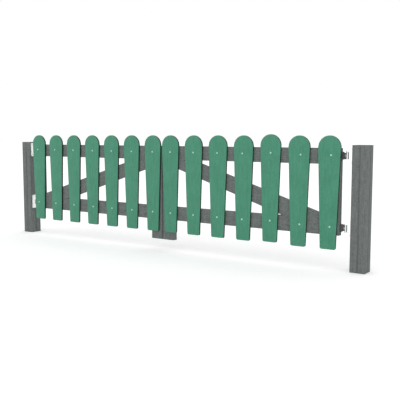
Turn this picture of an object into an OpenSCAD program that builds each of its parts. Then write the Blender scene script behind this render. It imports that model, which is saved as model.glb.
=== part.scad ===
// Double picket gate between two square posts.
// Recycled plastic boards, pinned hinges, all sizes in millimetres, +Z up.
// The origin is the centre of the left post's foot, at ground level.
// +X runs along the gate to the right post and the pickets face -Y.

/* [Gateway] */
// Clear width between the two posts
opening_w = 3000; // [2000:10:4200]
// Gap between the two leaves where they meet
meeting_gap = 6; // [5:1:20]
// Gap between a leaf's hinged edge and its post
hinge_gap = 71.5; // [65:0.5:90]

/* [Posts] */
// Side of the square post
post_w = 102; // [90:1:150]
// How far the posts rise above the frame
post_above = 20; // [0:5:300]
// Radius of the post's upright edges
post_edge_r = 2; // [1:0.5:6]

/* [Leaf frame] */
// Height of the frame's top edge above ground
frame_top = 795; // [700:5:1300]
// Height of the bottom rail's lower edge above ground
frame_bottom = 232; // [190:2:300]
// Width of the frame boards
board_w = 103; // [80:1:130]
// Thickness of the frame boards
board_t = 40; // [30:1:50]
// Radius of the frame boards' long edges
board_edge_r = 2; // [0.5:0.5:5]
// How far the frame stands in front of the posts' front faces
frame_set = 9; // [6:1:20]
// Width of the brace at its upper end, by the meeting stile
brace_upper_w = 102; // [80:1:130]
// Width of the brace at its lower end, by the hinge stile
brace_lower_w = 116; // [80:1:130]
// Height of the brace's middle line above the upper corner of the panel opening
brace_rise = -2; // [-30:1:10]
// Height of the brace's middle line above the lower corner of the panel opening
brace_low = -36; // [-45:1:30]

/* [Pickets] */
// Number of pickets on each leaf
picket_count = 7; // [4:1:10]
// How far the pickets' feet hang below the frame
foot_below = 93; // [40:1:110]
// How far the pickets' crowns rise above the frame
crown_above = 80; // [70:1:150]
// How far the meeting stiles' feet hang below the pickets
meeting_below = 61; // [10:1:70]
// Width of a picket at its foot
picket_foot_w = 107; // [70:1:130]
// Width of a picket at its rounded head
picket_head_w = 155; // [110:1:180]
// Thickness of a picket
picket_t = 15; // [10:1:25]
// Radius of the picket's lower corners
picket_corner_r = 11; // [4:1:20]
// Distance from a leaf's free edge to the first picket's head
picket_inset = 4.5; // [2:0.5:40]
// How far the last picket's head passes the leaf's hinged edge
picket_overhang = 6; // [-40:1:10]
// Which picket of the right leaf sits too high, counted from the middle
high_picket = 5; // [1:1:7]
// How much too high that picket sits
high_by = 8; // [0:1:15]

/* [Picket screws] */
// Diameter of a screw's head
screw_d = 13; // [8:0.5:16]
// Height of a screw's head
screw_h = 2.8; // [1.5:0.1:5]
// Height of the upper screws above the top rail's middle line
screw_up = 6; // [0:1:20]
// Height of the lower screws above the bottom rail's middle line
screw_low = 4; // [0:1:20]

/* [Hinges] */
// How far the hinges sit beyond the rails' middle lines, up at the top and down at the bottom
hinge_spread = 3; // [0:1:12]
// Diameter of the hinge pin
pin_d = 12; // [10:0.5:16]
// Radial clearance between a pin and its holes
pin_fit = 0.05; // [0.02:0.01:0.1]
// Distance from a leaf's hinged edge to the pin's axis
pin_out = 35.5; // [30:0.5:45]
// Distance of the pin's axis behind the post's front face
pin_set = 18; // [10:1:20]
// Outer diameter of the eye around the pin
eye_d = 18; // [17:0.5:30]
// Height of the eye
eye_h = 44; // [38:1:60]
// Clearance between the eye and the lug
eye_fit = 0.5; // [0.3:0.1:1]
// Diameter of the eye's shank
shank_d = 16; // [12:1:24]
// Length of shank that shows between the nut and the eye
shank_bare = 4.5; // [1:0.5:8]
// Height of the four-sided nut on the shank
nut_h = 42; // [36:1:46]
// How far the nut sits from the shank's axis, towards the leaf's other hinge
nut_in = 2; // [0:0.5:4]
// Height of the flat washer between the nut and the stile
washer_h = 50; // [40:1:60]
// Width of that washer and of the nut
washer_w = 34; // [28:1:40]
// Thickness of that washer
washer_t = 8; // [3:0.5:12]
// Height of the bracket's plate on the post
plate_h = 118; // [90:1:160]
// Width of the bracket's plate
plate_w = 70; // [50:1:90]
// Thickness of the bracket's plate
plate_t = 5; // [3:0.5:8]
// Thickness of the lug
lug_t = 4; // [3:0.5:8]
// Width of the lug
lug_w = 18; // [17:1:30]
// How far the pin stands out past the eye
pin_tail = 2; // [0.5:0.5:6]
// Height of the pin's head
pin_head_h = 3; // [2:0.5:6]

/* [Hidden] */
$fn = 96;
SIDES = ["left", "right"];
LEVELS = ["upper", "lower"];
picket_numbers = [for (i = [1 : picket_count]) i];

// each side is drawn as the right one, with x = 0 at the middle of the gateway
gate_x = (post_w + opening_w) / 2;
post_h = frame_top + post_above;
leaf_free = meeting_gap / 2;
leaf_end = opening_w / 2 - hinge_gap;
leaf_in = leaf_free + board_w;
leaf_out = leaf_end - board_w;
post_front = -post_w / 2;
frame_front = post_front - frame_set;
picket_front = frame_front - picket_t;
top_rail_z = frame_top - board_w;
bottom_rail_top = frame_bottom + board_w;
pin_x = leaf_end + pin_out;
pin_y = post_front + pin_set;
plate_front = pin_y - lug_w / 2;
lug_z = eye_h / 2 + eye_fit;
nut_reach = pin_out - eye_d / 2 - shank_bare;
picket_foot = frame_bottom - foot_below;
picket_h = frame_top + crown_above - picket_foot;
meeting_foot = picket_foot - meeting_below;
picket_first = leaf_free + picket_inset + picket_head_w / 2;
picket_last = leaf_end + picket_overhang - picket_head_w / 2;
picket_pitch = (picket_last - picket_first) / (picket_count - 1);
// the jig that spaced the screws ran wider than the pickets: sideways error from the middle out
screw_drift = [0, -1, -3, -7, 3, 12, 13];
plastic_green = [0.31, 0.57, 0.46];
plastic_grey = [0.44, 0.45, 0.44];
zinc = [0.85, 0.87, 0.86];
black_paint = [0.16, 0.16, 0.16];

function picket_x(i) = picket_first + (i - 1) * picket_pitch;
function picket_lift(side, i) = side == "right" && i == high_picket ? high_by : 0;
function rail_mid(level) = (level == "upper" ? top_rail_z : frame_bottom) + board_w / 2;
function hinge_z(level) = rail_mid(level) + (level == "upper" ? hinge_spread : -hinge_spread);

// the lower hinge is the upper one upside down
module at_hinge(side, level) {
    on_side(side)
        translate([0, 0, hinge_z(level)])
            mirror([0, 0, level == "upper" ? 0 : 1])
                children();
}

module on_side(side) {
    translate([gate_x, 0, 0])
        mirror([side == "left" ? 1 : 0, 0, 0])
            children();
}

module rounded_rectangle(w, h, r) {
    for (x = [r, w - r], y = [r, h - r])
        translate([x, y])
            circle(r);
    translate([r, 0])
        square([w - 2 * r, h]);
    translate([0, r])
        square([w, h - 2 * r]);
}

module upright_board(x, z0, z1) {
    translate([x, frame_front, z0])
        linear_extrude(z1 - z0)
            rounded_rectangle(board_w, board_t, board_edge_r);
}

// a board that runs from [0, 0] along +X, its lower edge at z = 0
module flat_board(length, width) {
    translate([length, frame_front, 0])
        rotate([0, -90, 0])
            linear_extrude(length)
                rounded_rectangle(width, board_t, board_edge_r);
}

module post(side) {
    color(plastic_grey)
        on_side(side)
            translate([opening_w / 2, post_front, 0])
                linear_extrude(post_h)
                    rounded_rectangle(post_w, post_w, post_edge_r);
}

module hinge_stile(side) {
    color(plastic_grey)
        on_side(side)
            upright_board(leaf_out, frame_bottom, frame_top);
}

module meeting_stile(side) {
    color(plastic_grey)
        on_side(side)
            upright_board(leaf_free, meeting_foot, frame_top);
}

module rail(side, z) {
    color(plastic_grey)
        on_side(side)
            translate([leaf_in, 0, z])
                flat_board(leaf_out - leaf_in, board_w);
}

// one side of the brace lies along a straight line that falls from z0 at leaf_in to z1 at leaf_out
module brace_side(z0, z1, below) {
    run = leaf_out - leaf_in;
    spare = board_w;
    width = 2 * board_w;
    translate([leaf_in, 0, z0])
        rotate([0, atan((z0 - z1) / run), 0])
            translate([-spare, 0, below ? -width : 0])
                flat_board(run + 3 * spare, width);
}

// the brace is one tapering board, cut to the panel opening at both ends
module brace(side) {
    run = leaf_out - leaf_in;
    z0 = top_rail_z + brace_rise;
    z1 = bottom_rail_top + brace_low;
    tilt = atan((z0 - z1) / run);
    upper_half = brace_upper_w / 2 / cos(tilt);
    lower_half = brace_lower_w / 2 / cos(tilt);
    color(plastic_grey)
        on_side(side)
            intersection() {
                translate([leaf_in, frame_front - 1, bottom_rail_top])
                    cube([run, board_t + 2, top_rail_z - bottom_rail_top]);
                brace_side(z0 + upper_half, z1 + lower_half, true);
                brace_side(z0 - upper_half, z1 - lower_half, false);
            }
}

// a round head whose circle runs into the tapering sides, which sit a hair inside the true tangents
module picket_outline() {
    hair = 0.02;
    head_r = picket_head_w / 2;
    head_z = picket_h - head_r;
    foot_hw = picket_foot_w / 2;
    slope = asin(head_r / norm([foot_hw, head_z])) - atan(foot_hw / head_z);
    corner_x = foot_hw + picket_corner_r * tan(slope) - picket_corner_r / cos(slope);
    outward = [cos(slope), -sin(slope)];
    head_side = [0, head_z] + (head_r - hair) * outward;
    foot_side = [corner_x, picket_corner_r] + (picket_corner_r - hair) * outward;
    translate([0, head_z])
        circle(head_r);
    for (x = [-corner_x, corner_x])
        translate([x, picket_corner_r])
            circle(picket_corner_r);
    polygon([[-corner_x, 0], [corner_x, 0], foot_side, head_side,
        [-head_side.x, head_side.y], [-foot_side.x, foot_side.y]]);
}

module picket(side, i) {
    color(plastic_green)
        on_side(side)
            translate([picket_x(i), frame_front, picket_foot + picket_lift(side, i)])
                rotate([90, 0, 0])
                    linear_extrude(picket_t)
                        picket_outline();
}

module screw_head() {
    rim = screw_h * 0.4;
    rotate([90, 0, 0]) {
        cylinder(h = rim, d = screw_d);
        translate([0, 0, rim])
            cylinder(h = screw_h - rim, d1 = screw_d, d2 = screw_d * 0.7);
    }
}

module picket_screws(side) {
    rows = [rail_mid("upper") + screw_up, rail_mid("lower") + screw_low];
    color(zinc)
        on_side(side)
            for (i = picket_numbers, z = rows)
                translate([picket_x(i) + screw_drift[(i - 1) % len(screw_drift)], picket_front,
                    z + picket_lift(side, i)])
                    screw_head();
}

// plate against the post's inner face, with one lug over the eye of the upper hinge
module hinge_bracket(side, level) {
    plate_x = opening_w / 2 - plate_t;
    color(zinc)
        at_hinge(side, level) {
            translate([plate_x, plate_front, -plate_h / 2])
                cube([plate_t, plate_w, plate_h]);
            difference() {
                union() {
                    translate([pin_x, pin_y, lug_z])
                        cylinder(h = lug_t, d = lug_w);
                    translate([pin_x, plate_front, lug_z])
                        cube([plate_x - pin_x + plate_t / 2, lug_w, lug_t]);
                }
                translate([pin_x, pin_y, lug_z - 1])
                    cylinder(h = lug_t + 2, d = pin_d + 2 * pin_fit);
            }
        }
}

// the pin hangs by its head on the lug and passes through the eye
module hinge_pin(side, level) {
    length = lug_z + lug_t + eye_h / 2 + pin_tail;
    color(zinc)
        at_hinge(side, level)
            translate([pin_x, pin_y, -eye_h / 2 - pin_tail]) {
                cylinder(h = length, d = pin_d);
                translate([0, 0, length])
                    cylinder(h = pin_head_h, d = pin_d * 1.5);
            }
}

// a flat washer and a four-sided nut against the stile's edge
module hinge_nut(side, level) {
    color(black_paint)
        at_hinge(side, level)
            translate([leaf_end, pin_y, 0])
                difference() {
                    union() {
                        translate([0, -washer_w / 2, -washer_h / 2])
                            cube([washer_t, washer_w, washer_h]);
                        translate([0, -washer_w / 2, -nut_h / 2 - nut_in])
                            cube([nut_reach, washer_w, nut_h]);
                    }
                    translate([-1, 0, 0])
                        rotate([0, 90, 0])
                            cylinder(h = nut_reach + 2, d = shank_d + 2 * pin_fit);
                }
}

// a barrel on the pin, with a shank through nut and washer
module hinge_eye(side, level) {
    color(zinc)
        at_hinge(side, level)
            translate([pin_x, pin_y, 0])
                difference() {
                    union() {
                        translate([0, 0, -eye_h / 2])
                            cylinder(h = eye_h, d = eye_d);
                        translate([-pin_out, 0, 0])
                            rotate([0, 90, 0])
                                cylinder(h = pin_out, d = shank_d);
                    }
                    translate([0, 0, -eye_h / 2 - 1])
                        cylinder(h = eye_h + 2, d = pin_d + 2 * pin_fit);
                }
}

for (s = SIDES) {
    post(s);
    hinge_stile(s);
    meeting_stile(s);
    rail(s, top_rail_z);
    rail(s, frame_bottom);
    brace(s);
    for (i = picket_numbers)
        picket(s, i);
    picket_screws(s);
    for (v = LEVELS) {
        hinge_bracket(s, v);
        hinge_pin(s, v);
        hinge_nut(s, v);
        hinge_eye(s, v);
    }
}
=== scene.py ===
import math
import bmesh
import bpy
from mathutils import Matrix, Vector


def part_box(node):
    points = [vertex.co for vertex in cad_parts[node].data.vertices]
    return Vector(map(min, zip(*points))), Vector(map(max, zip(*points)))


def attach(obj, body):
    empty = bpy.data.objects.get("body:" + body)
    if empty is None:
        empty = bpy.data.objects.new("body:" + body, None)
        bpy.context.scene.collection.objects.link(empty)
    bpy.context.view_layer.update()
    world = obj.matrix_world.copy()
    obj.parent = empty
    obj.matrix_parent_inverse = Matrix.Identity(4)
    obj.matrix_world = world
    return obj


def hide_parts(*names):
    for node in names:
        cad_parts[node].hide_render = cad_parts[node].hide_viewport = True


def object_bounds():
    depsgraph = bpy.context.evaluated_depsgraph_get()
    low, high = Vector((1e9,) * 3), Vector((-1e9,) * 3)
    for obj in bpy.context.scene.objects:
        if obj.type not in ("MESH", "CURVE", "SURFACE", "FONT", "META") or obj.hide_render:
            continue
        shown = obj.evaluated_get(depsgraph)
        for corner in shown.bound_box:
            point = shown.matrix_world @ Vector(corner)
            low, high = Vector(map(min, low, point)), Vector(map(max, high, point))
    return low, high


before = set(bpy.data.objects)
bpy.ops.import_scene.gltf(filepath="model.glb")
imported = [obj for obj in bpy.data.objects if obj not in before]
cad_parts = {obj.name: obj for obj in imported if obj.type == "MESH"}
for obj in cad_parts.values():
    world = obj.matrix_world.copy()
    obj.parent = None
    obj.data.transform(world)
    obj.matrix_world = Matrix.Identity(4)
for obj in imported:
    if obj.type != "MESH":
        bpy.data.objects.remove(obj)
cadBox = [list(corner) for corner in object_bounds()]
sideNames = ("left", "right")
levelNames = ("upper", "lower")
picketNumbers = range(1, 8)
gateMiddle = (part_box("left_post")[0].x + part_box("right_post")[1].x) / 2
quarter = math.pi / 2
tiny = 0.00002
smoothLimit = math.radians(30)
steepLimit = 0.1  # an upright face's normal has a smaller z than this
squareLimit = 0.97  # the normal of a face that looks along an axis has more than this there

cameraView = {
    "place": (4.514, -3.8978, 0.8732),
    "tilt": -0.1012,  # looks down a little
    "lean": -0.0008,
    "turn": 0.5983,  # looks left along the gate
    "lens": 57.08,
    "sensor": 36,
    "reach": 300,
}


def addCamera():
    bpy.ops.object.camera_add(
        location=cameraView["place"],
        rotation=(quarter + cameraView["tilt"], cameraView["lean"], cameraView["turn"]),
    )
    camera = bpy.context.object
    camera.data.lens = cameraView["lens"]
    camera.data.sensor_width = cameraView["sensor"]
    camera.data.clip_end = cameraView["reach"]
    bpy.context.scene.camera = camera


addCamera()
print("camera set")


# edit mode helpers
def clearPick():
    bpy.ops.object.select_all(action="DESELECT")


def useOnly(piece):
    clearPick()
    piece.select_set(True)
    bpy.context.view_layer.objects.active = piece


def settle():  # moves a new primitive's place, turn and size into its mesh
    bpy.ops.object.transform_apply(location=True, rotation=True, scale=True)
    return bpy.context.object


def addBlock(low, high, turn=(0, 0, 0)):
    clearPick()
    low, high = Vector(low), Vector(high)
    bpy.ops.mesh.primitive_cube_add(size=1, location=(low + high) / 2, rotation=turn, scale=high - low)
    return settle()


def addRod(centre, length, radius, turn=(0, 0, 0), corners=48):  # its axis is Z before the turn
    clearPick()
    bpy.ops.mesh.primitive_cylinder_add(
        vertices=corners, radius=radius, depth=length, location=centre, rotation=turn)
    return settle()


def openEdit(piece):
    useOnly(piece)
    bpy.ops.object.mode_set(mode="EDIT")
    bpy.ops.mesh.select_mode(type="FACE")
    bpy.ops.mesh.select_all(action="SELECT")


def closeEdit():
    bpy.ops.mesh.select_all(action="SELECT")
    bpy.ops.mesh.normals_make_consistent(inside=False)
    bpy.ops.object.mode_set(mode="OBJECT")
    bpy.ops.object.shade_smooth_by_angle(angle=smoothLimit)
    return bpy.context.object


def pick(kind, test):  # selects the points, edges or faces that pass the test
    bpy.ops.mesh.select_mode(type=kind)
    bpy.ops.mesh.select_all(action="DESELECT")
    shape = bmesh.from_edit_mesh(bpy.context.object.data)
    for part in {"VERT": shape.verts, "EDGE": shape.edges, "FACE": shape.faces}[kind]:
        if test(part):
            part.select_set(True)
    bmesh.update_edit_mesh(bpy.context.object.data)


def near(value, target):
    return abs(value - target) < tiny


def runsAlong(edge, axis):
    step = edge.verts[1].co - edge.verts[0].co
    return abs(step[axis]) > 0.9 * step.length


def liesAt(edge, axis, *places):
    return any(all(near(point.co[axis], place) for point in edge.verts) for place in places)


def isUpright(face):
    return abs(face.normal.z) < steepLimit


def rimsTop(edge):  # runs round a flat top or foot, between two faces
    return len(edge.link_faces) == 2 and any(isUpright(face) for face in edge.link_faces)


def cut(place, facing, **choices):
    bpy.ops.mesh.select_all(action="SELECT")
    bpy.ops.mesh.bisect(plane_co=place, plane_no=facing, **choices)


def bevel(offset, segments, **choices):
    bpy.ops.mesh.bevel(offset=offset, segments=segments, **choices)


def slide(x=0, y=0, z=0):
    bpy.ops.transform.translate(value=(x, y, z))


def join(pieces):
    useOnly(pieces[0])
    for piece in pieces[1:]:
        piece.select_set(True)
    bpy.ops.object.join()
    return bpy.context.object


def combine(piece, tool, operation):  # joins, cuts or trims the piece with a tool shape
    useOnly(piece)
    modifier = piece.modifiers.new("combine", "BOOLEAN")
    modifier.operation = operation
    modifier.object = tool
    bpy.ops.object.modifier_apply(modifier=modifier.name)
    bpy.data.objects.remove(tool)
    return piece


def copyTo(piece, x=0, y=0, z=0):
    useOnly(piece)
    bpy.ops.object.duplicate(linked=False)
    bpy.context.object.location = (x, y, z)
    return settle()


def mirrorPiece(piece, axis, middle):  # turns the piece over to the other side of the middle
    useOnly(piece)
    piece.scale[axis] = -1
    piece.location[axis] = 2 * middle
    settle()
    openEdit(piece)
    return closeEdit()


def hang(piece, name, body, slot, *nodes):
    piece.name = name
    piece.data.name = name
    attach(piece, body)
    if nodes:
        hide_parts(*nodes)
    return piece


# shader maths
class Wire:
    def __init__(self, tree, socket):
        self.tree = tree
        self.socket = socket

    def node(self, kind, settings=None, inputs=None, output=0):
        made = self.tree.nodes.new(kind)
        for name, value in (settings or {}).items():
            setattr(made, name, value)
        for key, value in (inputs or {}).items():
            plug(self.tree, made.inputs[key], value)
        return Wire(self.tree, made.outputs[output])

    def math(self, operation, first, second):
        return self.node("ShaderNodeMath", {"operation": operation}, {0: first, 1: second})

    def __add__(self, other):
        return self.math("ADD", self, other)

    def __radd__(self, other):
        return self.math("ADD", other, self)

    def __sub__(self, other):
        return self.math("SUBTRACT", self, other)

    def __rsub__(self, other):
        return self.math("SUBTRACT", other, self)

    def __mul__(self, other):
        return self.math("MULTIPLY", self, other)

    def __rmul__(self, other):
        return self.math("MULTIPLY", other, self)

    def between(self, low, high):  # 0 below low, 1 above high, smooth between
        return self.node(
            "ShaderNodeMapRange", {"interpolation_type": "SMOOTHSTEP"},
            {"Value": self, "From Min": low, "From Max": high})

    def mix(self, colour, other):  # the first colour where the wire is 0, the other where it is 1
        return self.node("ShaderNodeMix", {"data_type": "RGBA"}, {0: self, 6: colour, 7: other}, 2)

    def stretch(self, lengths, turn=(0, 0, 0)):
        return self.node(
            "ShaderNodeMapping", {"vector_type": "TEXTURE"},
            {"Vector": self, "Rotation": turn, "Scale": lengths})

    def noise(self, size, detail=2.0, roughness=0.5):  # size of a patch in metres
        return self.node(
            "ShaderNodeTexNoise", None,
            {"Vector": self, "Scale": 1 / size, "Detail": detail, "Roughness": roughness})

    def cells(self, size, output="Distance"):
        return self.node("ShaderNodeTexVoronoi", None, {"Vector": self, "Scale": 1 / size}, output)


def plug(tree, socket, value):
    if isinstance(value, Wire):
        tree.links.new(value.socket, socket)
    elif isinstance(value, tuple) and len(value) == 3 and socket.type == "RGBA":
        socket.default_value = (*value, 1)
    else:
        socket.default_value = value


def shade(red, green, blue):  # a colour as a screen shows it, 0 to 255
    return tuple(((value / 255 + 0.055) / 1.055) ** 2.4 for value in (red, green, blue))


def newFinish(name):
    finish = bpy.data.materials.new(name)
    finish.use_nodes = True
    tree = finish.node_tree
    place = Wire(tree, tree.nodes.new("ShaderNodeTexCoord").outputs["Object"])
    return finish, tree.nodes["Principled BSDF"], place


def coat(shader, colour, roughness, height, depth, strength, metal=0.0, gloss=0.5):
    tree = shader.id_data
    plug(tree, shader.inputs["Specular IOR Level"], gloss)
    plug(tree, shader.inputs["Base Color"], colour)
    plug(tree, shader.inputs["Roughness"], roughness)
    plug(tree, shader.inputs["Metallic"], metal)
    bump = height.node(
        "ShaderNodeBump", None, {"Height": height, "Distance": depth, "Strength": strength})
    plug(tree, shader.inputs["Normal"], bump)


greyPlastic = {
    "dark": (102, 107, 105),
    "light": (134, 140, 138),
    "fleck": (160, 167, 164),
    "sawnDark": (88, 90, 89),
    "sawnLight": (120, 123, 121),
    "streakLength": 0.08,
    "streakWidth": 0.0065,
    "mottleSize": 0.03,
    "crumbSize": 0.008,
    "grainSize": 0.0025,
    "fleckSize": 0.006,
    "pitSize": 0.012,
    "bumpDepth": 0.0006,
    "gloss": 0.06,
}


def recycledPlastic(name, along, turn=0.0, tone=1.0, crumbs=0.4):  # streaks run along axis 0, 1 or 2
    finish, shader, place = newFinish(name)
    values = greyPlastic
    stretchBy = [1.0, 1.0, 1.0]
    stretchBy[along] = values["streakLength"] / values["streakWidth"]
    lengthwise = place.stretch(tuple(stretchBy), (0, turn, 0))
    streak = lengthwise.noise(values["streakWidth"], 4, 0.6)
    mottle = place.noise(values["mottleSize"], 3, 0.6)
    crumb = place.noise(values["crumbSize"], 3, 0.6)
    grain = place.noise(values["grainSize"], 3, 0.65)
    fleck = place.noise(values["fleckSize"], 2, 0.5).between(0.66, 0.74)
    pit = place.cells(values["pitSize"]).between(0.0, 0.16)
    centring = 0.075 - crumbs / 2  # brings the sum's mean to a half
    body = streak * 0.5 + mottle * 0.15 + crumb * crumbs + grain * 0.2 + centring
    body = body.between(0.3, 0.7)
    dark = tuple(value * tone for value in shade(*values["dark"]))
    light = tuple(value * tone for value in shade(*values["light"]))
    spot = tuple(value * tone for value in shade(*values["fleck"]))
    colour = (fleck * 0.5).mix(body.mix(dark, light), spot)
    height = streak * 0.5 + grain * 0.35 + pit * 0.4
    coat(shader, colour, 0.62 + grain * 0.2, height, values["bumpDepth"], 0.6, gloss=values["gloss"])
    return finish


def sawnPlastic(name, dark, light, sawAxis):  # a cut end, with saw marks and the pores of the core
    finish, shader, place = newFinish(name)
    stretchBy = [1.0, 1.0, 1.0]
    stretchBy[sawAxis] = 0.12
    mark = place.stretch(tuple(stretchBy)).noise(0.009, 3, 0.6)
    pore = place.cells(0.0035).between(0.1, 0.45)
    cloud = place.noise(0.02, 3)
    colour = (mark * 0.6 + cloud * 0.4).between(0.3, 0.7).mix(shade(*dark), shade(*light))
    colour = pore.mix(tuple(0.55 * value for value in shade(*dark)), colour)
    coat(shader, colour, 0.75 + mark * 0.15, mark * 0.5 + pore * 0.5, 0.0006, 0.7)
    return finish


greenPlastic = {
    "deep": (58, 135, 105),
    "face": (76, 157, 126),
    "speck": (40, 104, 80),
    "edgeDark": (11, 31, 22),
    "edgeLight": (22, 49, 37),
    "scuff": (150, 190, 172),
    "cloudSize": 0.09,
    "streakSize": 0.009,
    "flowSize": 0.0035,
    "crumbSize": 0.007,
    "grainSize": 0.0016,
    "scuffSize": 0.004,
    "speckSize": 0.0045,
}


def picketPlastic():
    finish, shader, place = newFinish("greenPlastic")
    values = greenPlastic
    cloud = place.noise(values["cloudSize"], 4, 0.6)
    streak = place.stretch((1, 1, 9)).noise(values["streakSize"], 4, 0.6)
    flow = place.stretch((1, 1, 22)).noise(values["flowSize"], 4, 0.7)
    crumb = place.noise(values["crumbSize"], 3, 0.6)
    grain = place.noise(values["grainSize"], 3, 0.6)
    scuff = place.stretch((1, 1, 14), (0, 0.2, 0)).noise(values["scuffSize"], 3, 0.7).between(0.62, 0.8)
    speck = place.noise(values["speckSize"], 2, 0.5).between(0.68, 0.74)
    body = (cloud * 0.25 + streak * 0.4 + flow * 0.35 + crumb * 0.35 + grain * 0.15 - 0.25).between(0.3, 0.7)
    colour = body.mix(shade(*values["deep"]), shade(*values["face"]))
    colour = (scuff * 0.2).mix(colour, shade(*values["scuff"]))
    colour = (speck * 0.45).mix(colour, shade(*values["speck"]))
    roughness = 0.42 + grain * 0.18 + scuff * 0.12
    coat(shader, colour, roughness, grain * 0.5 + flow * 0.5 + streak * 0.3 - scuff * 0.2, 0.0004, 0.5)
    return finish


zincFinish = {
    "dark": (238, 242, 239),
    "light": (252, 254, 252),
    # colour of the painted shade and reflection on the eyes' side that faces the post
    "paintedShade": (112, 114, 111),
    "metal": 0.8,
}


def zincCoat(name, shadeTowardsPost=False):
    finish, shader, place = newFinish(name)
    spangle = place.cells(0.006, output="Color")
    tint = spangle.node("ShaderNodeSeparateColor", None, {0: spangle})
    cloud = place.noise(0.02, 4, 0.6)
    fine = place.noise(0.0012, 3, 0.6)
    body = tint * 0.5 + cloud * 0.5
    colour = body.between(0.2, 0.8).mix(shade(*zincFinish["dark"]), shade(*zincFinish["light"]))
    if shadeTowardsPost:  # painted shade and painted reflection: the side of the eyes that faces the post is darkened, as the post's shade and dark reflection fall there
        low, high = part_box("right_upper_hinge_pin")
        across = place.node("ShaderNodeSeparateXYZ", None, {0: place}) - gateMiddle
        outward = across.math("ABSOLUTE", across, 0) - ((low.x + high.x) / 2 - gateMiddle)
        paintedShadeMask = outward.between(0.001, 0.007) * (0.65 + cloud * 0.4)
        colour = paintedShadeMask.mix(colour, shade(*zincFinish["paintedShade"]))
    roughness = 0.2 + body * 0.15 + fine * 0.1
    coat(shader, colour, roughness, fine + tint * 0.3, 0.0002, 0.4, zincFinish["metal"])
    return finish


screwFinish = {"dark": (172, 216, 196), "light": (208, 240, 224), "metal": 0.3}


def screwSteel():
    finish, shader, place = newFinish("screwSteel")
    fine = place.noise(0.0008, 3, 0.6)
    cloud = place.noise(0.004, 3)
    colour = cloud.mix(shade(*screwFinish["dark"]), shade(*screwFinish["light"]))
    coat(shader, colour, 0.3 + fine * 0.25, fine, 0.00012, 0.5, screwFinish["metal"])
    return finish


blackFinish = {"dark": (76, 76, 77), "worn": (128, 127, 125), "metal": 0.1}


def blackSteel():
    finish, shader, place = newFinish("blackSteel")
    fine = place.noise(0.0011, 4, 0.65)
    cloud = place.noise(0.012, 4)
    worn = (cloud * 0.7 + fine * 0.3).between(0.58, 0.72)
    colour = (worn * 0.5).mix(shade(*blackFinish["dark"]), shade(*blackFinish["worn"]))
    coat(shader, colour, 0.42 + fine * 0.25, fine, 0.0002, 0.6, blackFinish["metal"])
    return finish


uprightGrey = recycledPlastic("uprightGrey", 2)
postGrey = recycledPlastic("postGrey", 2)
# the groove's finish is a darker grey: painted shade in the groove
groovePaintedShade = recycledPlastic("groovePaintedShade", 2, tone=0.85)
railGrey = recycledPlastic("railGrey", 0, crumbs=0.6)
sawnGrey = sawnPlastic("sawnGrey", greyPlastic["sawnDark"], greyPlastic["sawnLight"], 0)
sawnGreen = sawnPlastic("sawnGreen", greenPlastic["edgeDark"], greenPlastic["edgeLight"], 1)
faceGreen = picketPlastic()
zinc = zincCoat("zincCoat")
# the eyes' finish carries painted shade and reflection on the side that faces the post
eyeZincShaded = zincCoat("eyeZincShaded", shadeTowardsPost=True)
headSteel = screwSteel()
blackNut = blackSteel()
print("finishes made")


def paintPicked(finishIndex):
    bpy.context.object.active_material_index = finishIndex
    bpy.ops.object.material_slot_assign()


def markEnds(axis):  # gives the faces that look along an axis the second finish
    pick("FACE", lambda face: abs(face.normal[axis]) > squareLimit)
    paintPicked(1)


def wear(piece, *finishes):
    for finish in finishes:
        piece.data.materials.append(finish)


postShape = {
    "edge": 0.002,
    "topEdge": 0.0012,
    "grooveWidth": 0.012,
    "grooveDepth": 0.004,
    "grooveEdge": 0.0014,
}


def addPost(side):
    node = side + "_post"
    low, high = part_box(node)
    middle = (low + high) / 2
    half = postShape["grooveWidth"] / 2
    depth = postShape["grooveDepth"]
    post = addBlock(low, high)
    wear(post, postGrey, sawnGrey, groovePaintedShade)
    openEdit(post)
    for step in (-half, 0, half):
        cut((middle.x + step, 0, 0), (1, 0, 0))
        cut((0, middle.y + step, 0), (0, 1, 0))
    markEnds(2)
    pick("EDGE", lambda edge: runsAlong(edge, 2) and all(
        near(abs(edge.verts[0].co[axis] - middle[axis]), (high - low)[axis] / 2) for axis in (0, 1)))
    bevel(postShape["edge"], 4)
    for across, out in ((0, 1), (1, 0)):  # a shallow groove down the middle of each face
        for face, push in ((low, depth), (high, -depth)):
            pick("VERT", lambda point: near(point.co[across], middle[across])
                 and near(point.co[out], face[out]))
            shift = [0, 0, 0]
            shift[out] = push
            slide(*shift)
            pick("EDGE", lambda edge: runsAlong(edge, 2)
                 and abs(edge.verts[0].co[across] - middle[across]) < half + tiny
                 and abs(edge.verts[0].co[out] - face[out]) < depth + tiny)
            bevel(postShape["grooveEdge"], 2)
    # the groove's faces take the darker finish, which is painted shade in the groove
    pick("FACE", lambda face: isUpright(face)
         and max(abs(face.normal.x), abs(face.normal.y)) < squareLimit
         and min(abs(face.calc_center_median()[axis] - middle[axis]) for axis in (0, 1)) < half)
    paintPicked(2)
    pick("EDGE", lambda edge: liesAt(edge, 2, high.z) and rimsTop(edge))
    bevel(postShape["topEdge"], 2)
    closeEdit()
    return hang(post, side + "PostBody", "posts", "post_plastic", node)


boardShape = {"longEdge": 0.002, "endEdge": 0.0007}


def addBoard(node, body, finish):
    low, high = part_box(node)
    size = high - low
    along = max(range(3), key=lambda axis: size[axis])
    board = addBlock(low, high)
    wear(board, finish, sawnGrey)
    openEdit(board)
    markEnds(along)
    pick("EDGE", lambda edge: runsAlong(edge, along))
    bevel(boardShape["longEdge"], 4)
    pick("EDGE", lambda edge: liesAt(edge, along, low[along], high[along]))
    bevel(boardShape["endEdge"], 2)
    closeEdit()
    words = [word.capitalize() for word in node.split("_")]
    return hang(board, "".join(words) + "Board", body, "frame_plastic", node)


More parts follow.
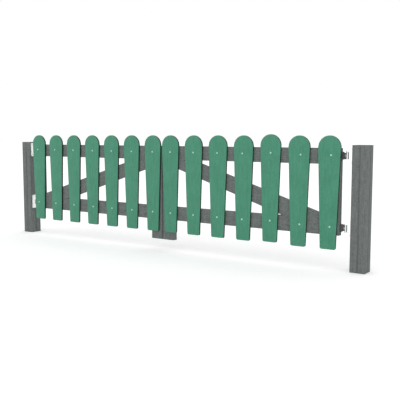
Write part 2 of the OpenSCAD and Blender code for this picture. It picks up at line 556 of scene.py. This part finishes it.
braceShape = {
    "rise": -0.002,  # of its middle line above the opening's upper corner
    "low": -0.036,  # and above the opening's lower corner
    "upperWidth": 0.102,
    "lowerWidth": 0.116,
    "longEdge": 0.002,
    "spare": 0.2,  # how far its block stands out all round before it is cut
}


def addBrace(side):
    topLow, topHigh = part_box(side + "_top_rail")
    bottomLow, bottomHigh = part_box(side + "_bottom_rail")
    upperX, lowerX = (topLow.x, topHigh.x) if side == "right" else (topHigh.x, topLow.x)
    start = Vector((upperX, 0, topLow.z + braceShape["rise"]))
    end = Vector((lowerX, 0, bottomHigh.z + braceShape["low"]))
    slope = math.atan((start.z - end.z) / (end.x - start.x))
    spare = braceShape["spare"]
    brace = addBlock((topLow.x - spare, topLow.y, bottomLow.z - spare),
                     (topHigh.x + spare, topHigh.y, topHigh.z + spare))
    wear(brace, recycledPlastic(side + "BraceGrey", 0, slope, crumbs=0.6))
    openEdit(brace)
    sides = []
    for up in (1, -1):  # its long sides spread towards the hinge
        first = start + Vector((0, 0, up * braceShape["upperWidth"] / 2 / math.cos(slope)))
        last = end + Vector((0, 0, up * braceShape["lowerWidth"] / 2 / math.cos(slope)))
        facing = Vector((0, -up if end.x > start.x else up, 0)).cross((last - first).normalized())
        cut(first, facing, use_fill=True, clear_outer=True)
        sides.append((first, facing))
    pick("EDGE", lambda edge: any(
        all(abs((point.co - place).dot(facing)) < tiny for point in edge.verts) for place, facing in sides)
        and runsAlong(edge, 0))
    bevel(braceShape["longEdge"], 4)
    for place, facing in (
        ((topLow.x, 0, 0), (-1, 0, 0)),
        ((topHigh.x, 0, 0), (1, 0, 0)),
        ((0, 0, bottomHigh.z), (0, 0, -1)),
        ((0, 0, topLow.z), (0, 0, 1)),
    ):
        cut(place, facing, use_fill=True, clear_outer=True)
    closeEdit()
    return hang(brace, side + "BraceBoard", side + "_leaf", "frame_plastic", side + "_brace")


picketShape = {
    "headWidth": 0.155,
    "footWidth": 0.107,
    "cornerRadius": 0.011,
    "rim": 0.0016,
    "arcPoints": 96,
}


def addPicketPattern():  # its foot is at z = 0, its back at y = 0, and it faces -Y
    low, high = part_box("right_picket_1")
    height = high.z - low.z
    thick = high.y - low.y
    headRadius = picketShape["headWidth"] / 2
    footHalf = picketShape["footWidth"] / 2
    headZ = height - headRadius
    lean = math.asin(headRadius / math.hypot(footHalf, headZ)) - math.atan(footHalf / headZ)
    tangentZ = headZ - headRadius * math.sin(lean)
    clearPick()
    bpy.ops.mesh.primitive_circle_add(
        vertices=picketShape["arcPoints"], radius=headRadius, location=(0, 0, headZ),
        rotation=(quarter, 0, 0))
    pattern = settle()
    openEdit(pattern)
    pick("VERT", lambda point: point.co.z < tangentZ - tiny)
    bpy.ops.mesh.delete(type="VERT")
    pick("VERT", lambda point: len(point.link_edges) == 1)
    points = bmesh.from_edit_mesh(pattern.data).verts
    lowest = min(point.co.z for point in points)
    widest = max(point.co.x for point in points if near(point.co.z, lowest))
    bpy.ops.mesh.extrude_vertices_move(TRANSFORM_OT_translate={"value": (0, 0, -lowest)})
    bpy.ops.transform.resize(value=(footHalf / widest, 1, 1), center_override=(0, 0, 0))
    bpy.ops.mesh.edge_face_add()
    pick("VERT", lambda point: near(point.co.z, 0))
    bevel(picketShape["cornerRadius"], 10, affect="VERTICES")
    bpy.ops.mesh.select_all(action="SELECT")
    bpy.ops.mesh.edge_face_add()
    bpy.ops.mesh.select_all(action="SELECT")
    bpy.ops.mesh.extrude_region_move(TRANSFORM_OT_translate={"value": (0, -thick, 0)})
    bpy.ops.mesh.select_all(action="SELECT")
    bpy.ops.mesh.normals_make_consistent(inside=False)
    pick("EDGE", lambda edge: liesAt(edge, 1, 0, -thick))
    bevel(picketShape["rim"], 3)
    wear(pattern, faceGreen, sawnGreen)
    pick("FACE", lambda face: abs(face.normal.y) < 0.5)  # its edge all round
    paintPicked(1)
    return closeEdit()


def addPickets():
    pattern = addPicketPattern()
    for side in sideNames:
        for number in picketNumbers:
            node = f"{side}_picket_{number}"
            low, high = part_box(node)
            picket = copyTo(pattern, (low.x + high.x) / 2, high.y, low.z)
            hang(picket, f"{side}Picket{number}", side + "_leaf", "picket_plastic", node)
    bpy.data.objects.remove(pattern)


for side in sideNames:
    addPost(side)
    for board in ("hinge_stile", "meeting_stile"):
        addBoard(f"{side}_{board}", side + "_leaf", uprightGrey)
    for board in ("top_rail", "bottom_rail"):
        addBoard(f"{side}_{board}", side + "_leaf", railGrey)
    addBrace(side)
print("posts and frames built")
addPickets()
print("pickets built")


screwShape = {
    "radius": 0.0065,
    "height": 0.0028,
    "crown": 0.0022,  # how far its edge is rounded
    "socket": 0.0021,  # from the middle to a corner
    "socketDepth": 0.0015,
    "drift": (0, -0.001, -0.003, -0.007, 0.003, 0.012, 0.013),  # sideways, towards the hinge
}


def addScrewPattern():  # a round head with a six-sided socket, its foot at y = 0, facing -Y
    height = screwShape["height"]
    head = addRod((0, -height / 2, 0), height, screwShape["radius"], (quarter, 0, 0), corners=40)
    openEdit(head)
    pick("EDGE", lambda edge: liesAt(edge, 1, -height))
    bevel(screwShape["crown"], 5)
    closeEdit()
    socket = addRod((0, -height, 0), 2 * screwShape["socketDepth"], screwShape["socket"],
                    (quarter, 0, 0), corners=6)
    combine(head, socket, "DIFFERENCE")
    openEdit(head)
    return closeEdit()


def addScrews():
    pattern = addScrewPattern()
    for side in sideNames:
        node = side + "_picket_screws"
        low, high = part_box(node)
        outward = 1 if side == "right" else -1
        pickets = [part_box(f"{side}_picket_{number}") for number in picketNumbers]
        footZ = min(picketLow.z for picketLow, picketHigh in pickets)
        lifts = [picketLow.z - footZ for picketLow, picketHigh in pickets]  # one picket sits higher
        upper = high.z - screwShape["radius"] - max(lifts)
        lower = low.z + screwShape["radius"]
        heads = []
        for (picketLow, picketHigh), lift, drift in zip(pickets, lifts, screwShape["drift"]):
            x = (picketLow.x + picketHigh.x) / 2 + outward * drift
            for z in (upper, lower):
                heads.append(copyTo(pattern, x, picketLow.y, z + lift))
        screws = join(heads)
        wear(screws, headSteel)
        hang(screws, side + "ScrewHeads", side + "_leaf", "screw_steel", node)
    bpy.data.objects.remove(pattern)


addScrews()
print("screws built")


hingeShape = {
    "plateThick": 0.005,
    "plateCorner": 0.008,
    "plateRim": 0.0008,
    "lugThick": 0.004,
    "weld": 0.0022,
    "weldLength": 1.7,  # as a share of half the lug's width
    "lugDrill": 0.03,  # length of the cutter for the pin's hole
    "eyeDrill": 0.1,
    "boltWidth": 0.013,  # across the flats
    "boltHead": 0.0055,
    "boltInset": 0.014,
    "washerRadius": 0.0085,
    "washerThick": 0.0016,
    "pinRadius": 0.006,
    "pinGap": 0.00005,
    "pinHead": 0.003,
    "pinRim": 0.001,
    "eyeRim": 0.001,
    "shankRadius": 0.008,
    "nutWasher": 0.008,
    "nutHeight": 0.042,
    "nutIn": 0.002,  # from the shank's axis, towards the leaf's other hinge
    "nutCorner": 0.002,
    "nutRim": 0.001,
    "chamfer": 0.1,  # of the bolts' corners, as a share of their radius
}


def hingeBox(part):  # every hinge is built as the right upper one
    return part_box("right_upper_hinge_" + part)


def addHexHead(width, height, centre, turn):  # a six-sided head with chamfered corners, one of them up
    corner = width / math.sqrt(3)
    head = addRod(centre, height, corner, turn, corners=6)
    openEdit(head)
    bpy.ops.transform.rotate(value=quarter, orient_axis="X", center_override=centre)
    closeEdit()
    lens = addRod(centre, height, corner, turn, corners=64)
    openEdit(lens)
    pick("EDGE", lambda edge: len(edge.link_faces) == 2
         and max(len(face.verts) for face in edge.link_faces) > 4)
    bevel(hingeShape["chamfer"] * corner, 1)
    closeEdit()
    combine(head, lens, "INTERSECT")
    openEdit(head)
    return closeEdit()


def addBracket():
    low, high = hingeBox("bracket")
    pinLow, pinHigh = hingeBox("pin")
    pin = (pinLow + pinHigh) / 2
    front = high.x - hingeShape["plateThick"]
    lugTop = pinHigh.z - hingeShape["pinHead"]
    lugFoot = lugTop - hingeShape["lugThick"]
    lugHalf = pin.y - low.y
    bracket = addBlock((front, low.y, low.z), high)
    openEdit(bracket)
    pick("EDGE", lambda edge: runsAlong(edge, 0))
    bevel(hingeShape["plateCorner"], 6)
    pick("EDGE", lambda edge: liesAt(edge, 0, front))
    bevel(hingeShape["plateRim"], 2)
    closeEdit()
    lug = addBlock((pin.x - lugHalf, pin.y - lugHalf, lugFoot),
                   (front + hingeShape["plateThick"] / 2, pin.y + lugHalf, lugTop))
    openEdit(lug)
    pick("EDGE", lambda edge: runsAlong(edge, 2) and near(edge.verts[0].co.x, pin.x - lugHalf))
    bevel(lugHalf - tiny, 12)
    closeEdit()
    combine(bracket, lug, "UNION")
    for z in (lugFoot, lugTop):  # weld beads along the lug's root
        bead = addRod((front, pin.y, z), hingeShape["weldLength"] * lugHalf, hingeShape["weld"],
                      (quarter, 0, 0), corners=16)
        combine(bracket, bead, "UNION")
    hole = addRod((pin.x, pin.y, lugFoot), hingeShape["lugDrill"],
                  hingeShape["pinRadius"] + hingeShape["pinGap"])
    combine(bracket, hole, "DIFFERENCE")
    openEdit(bracket)
    closeEdit()
    wear(bracket, zinc)
    bolts = []
    washerThick, headTall = hingeShape["washerThick"], hingeShape["boltHead"]
    for y in (low.y + hingeShape["boltInset"], high.y - hingeShape["boltInset"]):
        for z in (low.z + hingeShape["boltInset"], high.z - hingeShape["boltInset"]):
            bolts.append(addRod((front - washerThick / 2, y, z), washerThick,
                                hingeShape["washerRadius"], (0, quarter, 0), corners=32))
            bolts.append(addHexHead(hingeShape["boltWidth"], headTall,
                                    (front - washerThick - headTall / 2, y, z), (0, -quarter, 0)))
    boltSet = join(bolts)
    wear(boltSet, zinc)
    return bracket, boltSet


def addPin():
    low, high = hingeBox("pin")
    pin = (low + high) / 2
    headFoot = high.z - hingeShape["pinHead"]
    shaft = addRod((pin.x, pin.y, (low.z + headFoot) / 2), headFoot - low.z, hingeShape["pinRadius"])
    openEdit(shaft)
    pick("EDGE", lambda edge: liesAt(edge, 2, low.z))
    bevel(hingeShape["pinRim"], 2)
    closeEdit()
    head = addRod((pin.x, pin.y, (headFoot + high.z) / 2), hingeShape["pinHead"], (high.x - low.x) / 2)
    openEdit(head)
    pick("EDGE", lambda edge: liesAt(edge, 2, high.z))
    bevel(hingeShape["pinRim"], 3)
    closeEdit()
    piece = join([shaft, head])
    wear(piece, zinc)
    return piece


def addEye():
    low, high = hingeBox("eye")
    pinLow, pinHigh = hingeBox("pin")
    pin = (pinLow + pinHigh) / 2
    radius = high.x - pin.x
    middle = (low.z + high.z) / 2
    piece = addRod((pin.x, pin.y, middle), high.z - low.z, radius)
    openEdit(piece)
    pick("EDGE", lambda edge: liesAt(edge, 2, low.z, high.z) and rimsTop(edge))
    bevel(hingeShape["eyeRim"], 2)
    closeEdit()
    shank = addRod(((low.x + pin.x - radius) / 2, pin.y, middle), pin.x - radius - low.x,
                   hingeShape["shankRadius"], (0, quarter, 0))
    combine(piece, shank, "UNION")
    hole = addRod((pin.x, pin.y, middle), hingeShape["eyeDrill"],
                  hingeShape["pinRadius"] + hingeShape["pinGap"])
    combine(piece, hole, "DIFFERENCE")
    openEdit(piece)
    closeEdit()
    wear(piece, eyeZincShaded)
    return piece


def addNut():  # a flat washer and a four-sided nut
    low, high = hingeBox("nut")
    washerEnd = low.x + hingeShape["nutWasher"]
    middle = (low.z + high.z) / 2 - hingeShape["nutIn"]
    half = hingeShape["nutHeight"] / 2
    blocks = []
    for start, end, foot, top in (
        (low.x, washerEnd, low.z, high.z),
        (washerEnd, high.x, middle - half, middle + half),
    ):
        block = addBlock((start, low.y, foot), (end, high.y, top))
        openEdit(block)
        pick("EDGE", lambda edge: runsAlong(edge, 0))
        bevel(hingeShape["nutCorner"], 4)
        pick("EDGE", lambda edge: liesAt(edge, 0, end))
        bevel(hingeShape["nutRim"], 2)
        closeEdit()
        blocks.append(block)
    piece = join(blocks)
    wear(piece, blackNut)
    return piece


def addHinges():
    levelMiddle = (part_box("right_lower_hinge_eye")[0].z + hingeBox("eye")[1].z) / 2
    bracket, bolts = addBracket()
    for piece, part, body, slot in (
        (bracket, "bracket", "posts", "zinc_steel"),
        (bolts, "bolts", "posts", "zinc_steel"),
        (addPin(), "pin", "posts", "zinc_steel"),
        (addEye(), "eye", "leaf", "zinc_steel"),
        (addNut(), "nut", "leaf", "black_steel"),
    ):
        for side in sideNames:
            for level in levelNames:
                mine = copyTo(piece)
                if side == "left":
                    mirrorPiece(mine, 0, gateMiddle)
                if level == "lower":
                    mirrorPiece(mine, 2, levelMiddle)
                nodes = [] if part == "bolts" else [f"{side}_{level}_hinge_{part}"]
                hang(mine, f"{side}{level.capitalize()}Hinge{part.capitalize()}",
                     body if body == "posts" else side + "_leaf", slot, *nodes)
        bpy.data.objects.remove(piece)


addHinges()
print("hinges built")


stageShape = {"reach": 60, "glow": 0.17, "floorGrey": 0.8}


def paleRays(tree):  # 1 for the rays that show the stage itself
    path = tree.nodes.new("ShaderNodeLightPath")
    seen = Wire(tree, path.outputs["Is Camera Ray"])
    mirrored = Wire(tree, path.outputs["Is Glossy Ray"])
    through = Wire(tree, path.outputs["Is Transmission Ray"])
    return seen.math("MAXIMUM", seen, seen.math("MAXIMUM", mirrored, through))


def addFloor():
    low, high = Vector(cadBox[0]), Vector(cadBox[1])
    clearPick()
    bpy.ops.mesh.primitive_plane_add(
        size=2 * stageShape["reach"], location=((low.x + high.x) / 2, 0, low.z))
    floor = settle()
    floor.name = "studioFloor"
    finish = bpy.data.materials.new("studioFloor")
    finish.use_nodes = True
    tree = finish.node_tree
    tree.nodes.remove(tree.nodes["Principled BSDF"])
    seen = paleRays(tree)
    plain = seen.node("ShaderNodeBsdfDiffuse", None, {"Color": (stageShape["floorGrey"],) * 3})
    bright = seen.node("ShaderNodeBsdfDiffuse", None, {"Color": (1, 1, 1)})
    glow = seen.node("ShaderNodeEmission", None, {"Color": (1, 1, 1), "Strength": stageShape["glow"]})
    pale = seen.node("ShaderNodeAddShader", None, {0: glow, 1: bright})
    shown = seen.node("ShaderNodeMixShader", None, {0: seen, 1: plain, 2: pale})
    plug(tree, tree.nodes["Material Output"].inputs["Surface"], shown)
    floor.data.materials.append(finish)


lampSet = {
    "sky": 0.81,
    "place": (1.5, 0, 6),
    "lamps": (  # height above the floor, turn about Z, strength, softness; the angles in degrees
        ("frontLamp", 55, -90, 0.29, 90),
        ("backLamp", 57, 100, 0.25, 90),
    ),
}


def addWorld():
    world = bpy.data.worlds.new("studio")
    bpy.context.scene.world = world
    world.use_nodes = True
    tree = world.node_tree
    seen = paleRays(tree)
    strength = seen * (1 - lampSet["sky"]) + lampSet["sky"]
    plug(tree, tree.nodes["Background"].inputs["Color"], (1, 1, 1))
    plug(tree, tree.nodes["Background"].inputs["Strength"], strength)


def addLamps():
    for name, height, turn, strength, softness in lampSet["lamps"]:
        lift, bearing = math.radians(height), math.radians(turn)
        clearPick()
        bpy.ops.object.light_add(type="SUN", location=lampSet["place"])
        lamp = bpy.context.object
        lamp.name = name
        level = math.cos(lift)
        towards = Vector((level * math.cos(bearing), level * math.sin(bearing), math.sin(lift)))
        lamp.rotation_euler = towards.to_track_quat("Z", "Y").to_euler()
        lamp.data.energy = strength
        lamp.data.angle = math.radians(softness)


addFloor()
addWorld()
addLamps()
bpy.context.scene.view_settings.view_transform = "Standard"
print("stage and lamps set")
